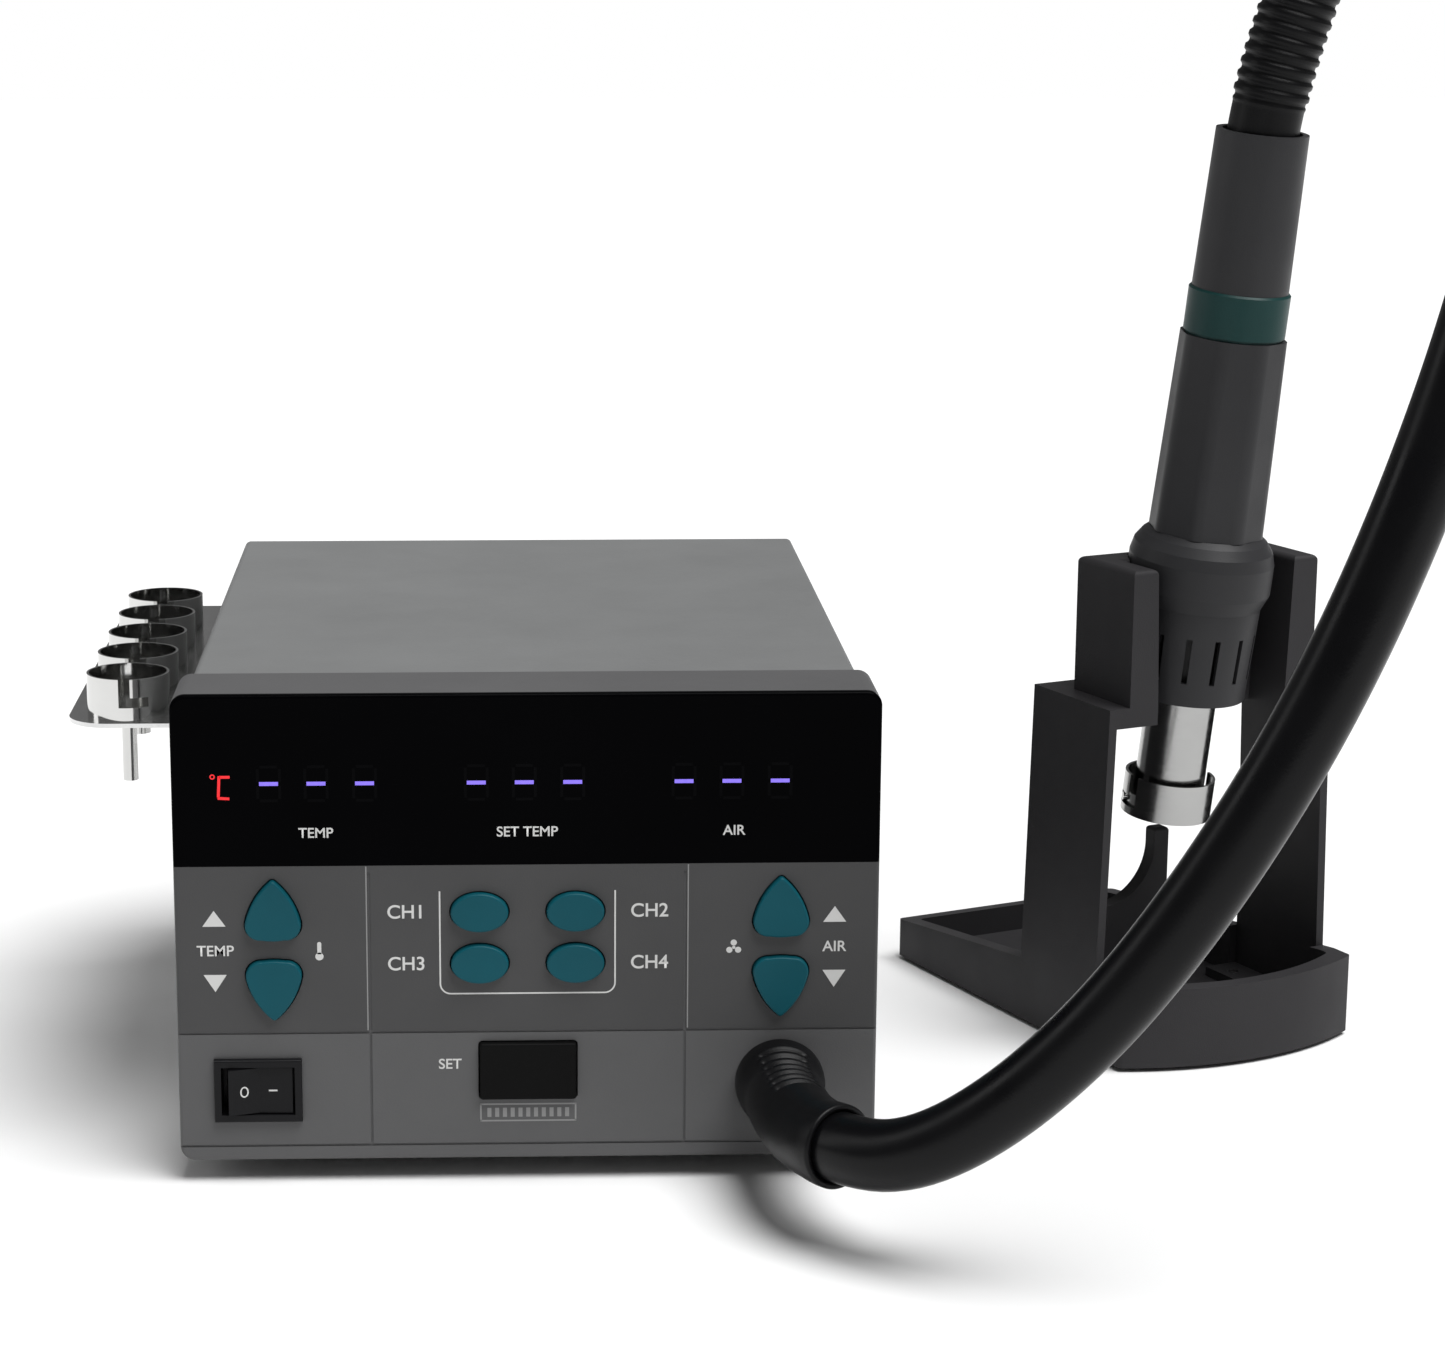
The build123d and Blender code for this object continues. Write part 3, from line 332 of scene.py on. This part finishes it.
MAT = {
    "front": front_plastic(),
    "cover": plastic("cover_paint", (0.178, 0.181, 0.182),
                     0.45, grain=1500, depth=0.00005, spread=0.05, specular=0.35),
    "window": plastic("window_acrylic", (0.0012, 0.0012, 0.0015),
                      0.1, grain=60, depth=0.00001, specular=0.012),
    "teal": plastic("teal_button", (0.002, 0.072, 0.096), 0.42, spread=0.10, specular=0.16),
    "teal_ring": plastic("teal_ring_plastic", (0.006, 0.038, 0.036), 0.4, spread=0.12, specular=0.2),
    "black_button": plastic("black_button", (0.005, 0.005, 0.005), 0.45, specular=0.05),
    "switch": plastic("switch_black", (0.007, 0.007, 0.008), 0.35, depth=0.00002, specular=0.14),
    "handle": plastic("handle_plastic", (0.028, 0.028, 0.030),
                      0.44, depth=0.00003, spread=0.07, specular=0.22),
    "stand": plastic("stand_plastic", (0.031, 0.030, 0.032), 0.5, depth=0.00005, spread=0.07, specular=0.16),
    "rubber": plastic("boot_rubber", (0.0035, 0.0035, 0.004),
                      0.4, grain=1800, depth=0.00004, spread=0.2, specular=0.16),
    "hose": plastic("hose_rubber", (0.0025, 0.0025, 0.003),
                    0.3, grain=1200, depth=0.00003, spread=0.2, specular=0.16),
    "feet": plastic("feet_rubber", (0.012, 0.012, 0.012), 0.7, grain=1200, depth=0.00008, spread=0.2),
    "component": plastic("component_black", (0.015, 0.015, 0.016), 0.5),
    "nylon": plastic("nylon_black", (0.018, 0.018, 0.019), 0.45),
    "ceramic": plastic("ceramic", (0.62, 0.58, 0.5), 0.8, grain=700, depth=0.00008),
    "mica": plastic("mica", (0.42, 0.33, 0.18), 0.4, grain=400, depth=0.00005, spread=0.25),
    "board": plastic("board_lacquer", (0.008, 0.075, 0.032), 0.3, grain=500, depth=0.00002, spread=0.25),
    "steel": metal("drawn_steel", (0.40, 0.40, 0.395), 0.2, (0.25, 0.25, 1.0), depth=0.000003, spread=0.05),
    "rack": metal("polished_sheet", (0.66, 0.66, 0.66), 0.2, (1.0, 0.03, 1.0)),
    "chrome": metal("polished_cup", (0.62, 0.62, 0.61), 0.1, (0.05, 0.05, 1.0), depth=0.000003, spread=0.06),
    "zinc": metal("zinc_screw", (0.52, 0.52, 0.50), 0.34, (1.0, 1.0, 1.0)),
    "aluminium": metal("aluminium", (0.72, 0.72, 0.72), 0.35, (1.0, 1.0, 0.03)),
    "core": metal("core_steel", (0.16, 0.16, 0.17), 0.45, (1.0, 0.02, 1.0)),
    "copper": metal("copper_winding", (0.62, 0.27, 0.12), 0.35, (0.02, 1.0, 1.0), depth=0.00006),
    "brass": metal("brass", (0.70, 0.54, 0.24), 0.3, (1.0, 1.0, 1.0)),
    "print": plastic("white_print", (0.62, 0.62, 0.61), 0.5, spread=0.04, depth=0.00001),
    "dim_print": plastic("grey_print", (0.24, 0.24, 0.24), 0.55, spread=0.06, depth=0.00001),
    "violet": glow("display_violet", (0.22, 0.15, 0.80), 1.05),
    "red": glow("display_red", (0.80, 0.010, 0.016), 1.0),
    "off_segment": plastic("unlit_segment", (0.0026, 0.0026, 0.003), 0.25, specular=0.014),
}

NODE_MATERIALS = {
    "front_bezel": "front", "top_cover": "cover", "base_tray": "cover", "rear_panel": "cover",
    "display_window": "window", "rubber_feet": "feet", "cover_screws": "zinc", "mains_inlet": "switch",
    "inlet_pins": "brass", "fuse_holder": "switch", "power_switch_body": "switch", "power_rocker": "switch",
    "set_button": "black_button", "button_switches": "component", "led_modules": "component",
    "display_board": "board", "board_standoffs": "nylon", "control_board": "board",
    "board_components": "component", "heatsink": "aluminium", "transformer_core": "core",
    "transformer_winding": "copper", "blower_housing": "nylon", "blower_impeller": "nylon",
    "blower_motor": "steel", "air_duct": "nylon", "hose_gland": "nylon", "rack_plate": "rack",
    "handle_nozzle": "steel", "heater_barrel": "steel", "heater_core": "ceramic", "heater_insulator": "mica",
    "nose_shield": "handle", "handle_collar": "handle", "handle_grip": "handle", "handle_ring": "teal_ring",
    "handle_tail": "handle", "handle_boot": "rubber", "handle_board": "board", "hose": "hose",
    "station_boot": "rubber", "stand_base": "stand", "stand_left_post": "stand", "stand_right_post": "stand",
    "stand_nozzle_rest": "stand", "stand_weight": "zinc", "stand_screws": "zinc",
}
for obj_name, obj in NODES.items():
    key = NODE_MATERIALS.get(obj_name)
    if obj_name.startswith("spare_nozzle"):
        key = "chrome"
    if key is None:
        key = "teal"
    for s in obj.material_slots:
        s.material = MAT[key]

# ---------------------------------------------------------------- hose

ROUTE = [
    at(HOSE_X, 0, HOSE_Z),
    at(HOSE_X, -27, HOSE_Z),
    at(76.5, -51, 27),
    at(95, -69, 30),
    at(121, -80, 50),
    at(149, -90, 85),
    at(180, -94, 137),
    at(205, -89, 190),
    at(226, -82, 252),
    at(238, -82, 322),
    at(245, -70, 392),
    at(247, -36, 450),
    at(247, 14, 484),
    at(246, 70, 476),
    at(244, 106, 434),
    at(238, 114, 380),
    at(226.5, 108.5, 326),
    on_axis(214),
    on_axis(196),
]
hose_line = spline_points(ROUTE, 24)
hose_path = even_points(hose_line, 0.003)


def make_hose():
    verts, faces = sweep_rings(frames_along(hose_path, Vector((0, 0, 1))), 48, lambda s, t: HOSE_R / 1000)
    hose = new_object("hose_skin", mesh_from("hose_skin", verts, faces), None, MAT["hose"])
    smooth_by_angle(hose.data, 50)
    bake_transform(hose)
    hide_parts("hose")


make_hose()

# ---------------------------------------------------------------- boots

def path_from(points, length):
    """The first stretch of a line of points, up to a length in metres."""
    out, run = [points[0]], 0.0
    for a, b in zip(points, points[1:]):
        run += (b - a).length
        if run > length:
            break
        out.append(b)
    return out


BOOT_BORE = 0.0093
BORE_DEPTH = 0.006


def sleeve_mesh(name, frames, sides, radius, bore, lip):
    """Tube with a rounded lip at its far end and a short visible bore inside it."""
    verts, faces = sweep_rings(frames, sides, radius, caps=False)
    p, a, b, s = frames[-1]
    ahead = a.cross(b)
    last = radius(s, 1.5)
    rings = [
        (lip * 0.6, last - lip * 0.25), (lip, last - lip), (lip * 0.6, bore + lip * 0.2),
        (-lip, bore), (-BORE_DEPTH, bore),
    ]
    for forward, r in rings:
        start = len(verts) - sides
        for k in range(sides):
            t = 2 * math.pi * k / sides
            verts.append(p + ahead * forward + a * (r * math.cos(t)) + b * (r * math.sin(t)))
        for k in range(sides):
            j = (k + 1) % sides
            faces.append((start + k, start + j, start + sides + j, start + sides + k))
    return mesh_from(name, verts, faces)


def ease(x, low, high):
    t = min(max((x - low) / (high - low), 0.0), 1.0)
    return t * t * (3 - 2 * t)


def station_boot_radius(s, t):
    """Flared foot, smooth cuff, and a ladder of cross slots along the top."""
    mm = s * 1000
    r = 10.75 + 1.35 * (1 - ease(mm, 1.5, 15.0))
    r += 0.35 * ease(mm, 45, 52)
    turn = (t + math.pi) % (2 * math.pi) - math.pi
    across = 1 - ease(abs(turn), 0.50, 0.66)
    rung = 0.5 - 0.5 * math.cos(2 * math.pi * (mm - 5.0) / 3.9)
    along = ease(mm, 4.5, 5.5) * (1 - ease(mm, 31.5, 32.5))
    r -= 1.25 * across * along * ease(rung, 0.42, 0.62)
    return r / 1000


def handle_boot_radius(s, t):
    """Smooth neck, then rounded rings."""
    mm = s * 1000
    rings = ease(mm, 20.0, 22.0) * (1 - ease(mm, 82.0, 84.0))
    wave = 0.5 - 0.5 * math.cos(2 * math.pi * mm / 3.7)
    r = 10.35 + rings * (0.75 * ease(wave, 0.1, 0.75) - 0.15)
    return r / 1000


fine_path = even_points(hose_line, 0.0005)
start_frames = frames_along(path_from(fine_path, 0.0535), Vector((0, 0, 1)))
boot_mesh = sleeve_mesh("hose_boot", start_frames, 112, station_boot_radius, BOOT_BORE, 0.0007)
boot = new_object("hose_boot", boot_mesh, "station", MAT["rubber"])
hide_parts("station_boot")

back_path = [on_axis(190 + 0.5 * i) for i in range(12)] + fine_path[::-1]
end_frames = frames_along(path_from(back_path, 0.096), SIDE)
tail_mesh = sleeve_mesh("tail_boot", end_frames, 80, handle_boot_radius, BOOT_BORE, 0.0006)
tail_boot = new_object("tail_boot", tail_mesh, "handle", MAT["rubber"])
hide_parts("handle_boot")

# ---------------------------------------------------------------- hand piece lining and soft edges

lining_frames = [(on_axis(v), SIDE, BACK, v / 1000) for v in (35, 42, 52, 61)]
lining_mesh = mesh_from("shield_lining", *sweep_rings(
    lining_frames, 48, lambda d, t: 0.0142 + 0.012 * (d - 0.035), caps=False))
lining = new_object("shield_lining", lining_mesh, "handle", MAT["nylon"])

SOFT_EDGES = {
    "front_bezel": 0.5, "top_cover": 0.4, "set_button": 0.4, "power_switch_body": 0.4, "power_rocker": 0.4,
    "stand_base": 1.0, "stand_left_post": 1.0, "stand_right_post": 1.0, "handle_grip": 1.2, "nose_shield": 0.3,
    "handle_tail": 0.4, "handle_ring": 0.4, "display_window": 0.3, "rack_plate": 0.15,
}
for key, width in SOFT_EDGES.items():
    bevel = NODES[key].modifiers.new("soft_edge", "BEVEL")
    bevel.width = width / 1000
    bevel.segments = 3
    bevel.limit_method = "ANGLE"
    bevel.angle_limit = math.radians(35)
    bevel.harden_normals = True
    bevel.use_clamp_overlap = True

# ---------------------------------------------------------------- printing and display


def flat(name, outlines, mat, y=-0.05, body="station"):
    """Thin printed shapes on the front; outlines are lists of (x, z) in millimetres."""
    verts, faces = [], []
    for outline in outlines:
        start = len(verts)
        verts += [at(x, y, z) for x, z in outline]
        faces.append(tuple(range(start, start + len(outline))))
    mesh = bpy.data.meshes.new(name)
    mesh.from_pydata([tuple(v) for v in verts], [], faces)
    mesh.update()
    bm = bmesh.new()
    bm.from_mesh(mesh)
    for f in bm.faces:
        if f.normal.y > 0:
            f.normal_flip()
    bm.to_mesh(mesh)
    bm.free()
    return new_object(name, mesh, body, MAT[mat])


def bar(x, z, w, h):
    return [(x - w / 2, z - h / 2), (x + w / 2, z - h / 2), (x + w / 2, z + h / 2), (x - w / 2, z + h / 2)]


def ribbon(points, width):
    """Quads along a line of (x, z) points."""
    left, right = [], []
    for i, (x, z) in enumerate(points):
        x0, z0 = points[max(i - 1, 0)]
        x1, z1 = points[min(i + 1, len(points) - 1)]
        k = math.hypot(x1 - x0, z1 - z0)
        nx, nz = -(z1 - z0) / k * width / 2, (x1 - x0) / k * width / 2
        left.append((x + nx, z + nz))
        right.append((x - nx, z - nz))
    return [[left[i], left[i + 1], right[i + 1], right[i]] for i in range(len(points) - 1)]


def arc(cx, cz, r, a0, a1, steps=8):
    return [(cx + r * math.cos(math.radians(a0 + (a1 - a0) * i / steps)),
             cz + r * math.sin(math.radians(a0 + (a1 - a0) * i / steps))) for i in range(steps + 1)]


def text(name, words, x, z, height, mat="print", y=-0.05):
    """Printed words, centred on (x, z)."""
    data = bpy.data.curves.new(name, "FONT")
    data.body = words
    data.size = height / 0.7
    data.align_x = "CENTER"
    data.align_y = "CENTER"
    data.offset = height * 0.018
    obj = bpy.data.objects.new(name, data)
    mesh = bpy.data.meshes.new_from_object(obj)
    bpy.data.objects.remove(obj)
    mesh.name = name
    for v in mesh.vertices:
        v.co = at(x + v.co.x, y, z + v.co.y)
    mesh.materials.clear()
    return new_object(name, mesh, "station", MAT[mat])


def triangle(x, z, w, h):
    return [(x - w / 2, z - h / 2), (x + w / 2, z - h / 2), (x, z + h / 2)]


flat("print_arrows", [
    triangle(-83.5, 74.1, 6.2, 4.4), triangle(82.2, 74.1, 6.2, 4.4),
    triangle(-83.5, 56.1, 6.2, -4.8), triangle(82.2, 56.1, 6.2, -4.8),
], "print")
well = [(-23.4, 81.2), (-23.4, 55.6)] + arc(-20.6, 55.5, 2.8, 180, 270)
well += arc(20.6, 55.5, 2.8, 270, 360) + [(23.4, 81.2)]
flat("print_well", ribbon(well, 0.42), "print")
flat("print_columns", [bar(s * 42.9, 65.4, 0.34, 45.6) for s in (-1, 1)], "dim_print")
for index, (x, z) in enumerate(((-32.4, 75.4), (32.6, 75.4), (-32.4, 61.0), (32.6, 61.0)), 1):
    text(f"print_channel_{index}", f"CH{index}", x, z, 3.7)
text("print_temp", "TEMP", -83.3, 65.0, 2.9)
text("print_air", "AIR", 82.2, 65.0, 2.9)
text("print_set", "SET", -21.0, 32.8, 2.8)
text("print_window_1", "TEMP", -56.0, 97.4, 2.7, y=-0.04)
text("print_window_2", "SET TEMP", 0.0, 97.4, 2.7, y=-0.04)
text("print_window_3", "AIR", 55.0, 97.4, 2.7, y=-0.04)


def thermometer(x, z):
    stem = arc(x, z + 1.9, 0.55, 0, 180) + [(x - 0.55, z - 1.0), (x + 0.55, z - 1.0)]
    return [stem, arc(x, z - 1.6, 1.1, 0, 345, 20)]


def fan(x, z):
    blades = [arc(x, z, 0.45, 0, 345, 14)]
    for k in range(3):
        a = math.radians(90 + 120 * k)
        blades.append(arc(x + 1.35 * math.cos(a), z + 1.35 * math.sin(a), 0.85, 0, 345, 14))
    return blades


flat("print_thermometer", thermometer(-55.6, 65.0), "print")
flat("print_fan", fan(55.2, 65.0), "print")
strip = ribbon([(-13, 16.7), (13, 16.7)], 0.45) + ribbon([(-13, 21.4), (13, 21.4)], 0.45)
strip += ribbon([(-12.8, 16.7), (-12.8, 21.4)], 0.45) + ribbon([(12.8, 16.7), (12.8, 21.4)], 0.45)
strip += [bar(-10.5 + 2.1 * i, 19.05, 1.1, 2.6) for i in range(11)]
flat("print_scale", strip, "dim_print")

dashes = (-68.2, -55.7, -42.9, -13.4, -0.7, 12.1, 41.6, 54.3, 67.1)
flat("display_dashes", [bar(x, 111.0, 5.0, 1.05) for x in dashes], "violet", y=-0.04)
unit = ribbon([(-78.4, 112.9), (-81.2, 112.9)], 0.75) + ribbon([(-81.2, 113.2), (-81.5, 107.4)], 0.75)
unit += ribbon([(-81.7, 107.2), (-78.6, 107.0)], 0.75) + ribbon(arc(-83.0, 113.0, 0.55, 0, 360, 12), 0.35)
flat("display_unit", unit, "red", y=-0.04)
segments = []
for x in dashes:
    for z in (-4.6, 4.6):
        segments.append(bar(x, 111.0 + z, 4.6, 0.8))
    for dx in (-2.9, 2.9):
        segments += [bar(x + dx, 113.3, 0.8, 3.6), bar(x + dx, 108.7, 0.8, 3.6)]
flat("display_unlit", segments, "off_segment", y=-0.03)


ROCKER_X, ROCKER_PIVOT_Y, ROCKER_Z = -72.6, 3.0, 26.1
ROCKER_TILT = 8


def on_rocker(u, z):
    """Point just off the rocker's face, u across it from its middle."""
    turn = math.radians(ROCKER_TILT)
    x, y = u, -0.68 - 1.4 * abs(u) / 8.6 - ROCKER_PIVOT_Y
    across = x * math.cos(turn) - y * math.sin(turn)
    back = x * math.sin(turn) + y * math.cos(turn)
    return at(ROCKER_X + across, ROCKER_PIVOT_Y + back, z)


def rocker_mark(name, outlines):
    obj = flat(name, outlines, "print", body=None)
    for v, (u, z) in zip(obj.data.vertices, [p for o in outlines for p in o]):
        v.co = on_rocker(u, z)
    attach(obj, "rocker")


oval = [(u * 0.72 - 4.3, z) for u, z in arc(0, ROCKER_Z, 1.35, 0, 360, 24)]
rocker_mark("rocker_off_mark", ribbon(oval, 0.4))
rocker_mark("rocker_on_mark", [bar(3.4, ROCKER_Z, 2.3, 0.45)])

# ---------------------------------------------------------------- floor and light


def make_floor():
    mesh = mesh_from("floor", [(-6, -6, 0), (6, -6, 0), (6, 6, 0), (-6, 6, 0)], [(0, 1, 2, 3)], False)
    m, nt, bsdf, coords = node_tree("floor_white")
    bsdf.inputs["Roughness"].default_value = 0.9
    tone = tinted(nt, noise(nt, coords, 2.0), (0.86, 0.86, 0.86), (0.9, 0.9, 0.9))
    nt.links.new(tone, bsdf.inputs["Base Color"])
    floor = bpy.data.objects.new("floor", mesh)
    mesh.materials.append(m)
    bpy.context.scene.collection.objects.link(floor)
    floor.location.z = -0.0003


def make_light(name, place, target, size, power, color=(1, 1, 1)):
    data = bpy.data.lights.new(name, "AREA")
    data.shape = "RECTANGLE"
    data.size, data.size_y = size
    data.energy = power
    data.color = color
    lamp = bpy.data.objects.new(name, data)
    bpy.context.scene.collection.objects.link(lamp)
    lamp.location = place
    lamp.rotation_euler = (Vector(target) - Vector(place)).to_track_quat("-Z", "Y").to_euler()


make_floor()


def make_world():
    """White all round; the light it gives is much dimmer than it looks."""
    world = bpy.data.worlds.new("studio")
    world.use_nodes = True
    nt = world.node_tree
    background = nt.nodes["Background"]
    path = nt.nodes.new("ShaderNodeLightPath")
    power = nt.nodes.new("ShaderNodeMapRange")
    power.inputs["To Min"].default_value = 0.16
    power.inputs["To Max"].default_value = 1.0
    nt.links.new(path.outputs["Is Camera Ray"], power.inputs["Value"])
    nt.links.new(power.outputs["Result"], background.inputs["Strength"])
    background.inputs["Color"].default_value = (1, 1, 1, 1)
    bpy.context.scene.world = world


make_world()
bpy.context.scene.view_settings.view_transform = "Standard"


def make_sun():
    """High, wide studio light from the front right; parallel, so the floor stays even."""
    data = bpy.data.lights.new("sun", "SUN")
    data.energy = 3.9
    data.angle = math.radians(44)
    sun = bpy.data.objects.new("sun", data)
    sun.rotation_euler = Vector((-0.30, 0.24, -0.92)).to_track_quat("-Z", "Y").to_euler()
    bpy.context.scene.collection.objects.link(sun)


make_sun()
make_light("left", (-1.5, 0.2, 0.8), (0, 0, 0.15), (0.5, 1.1), 3)
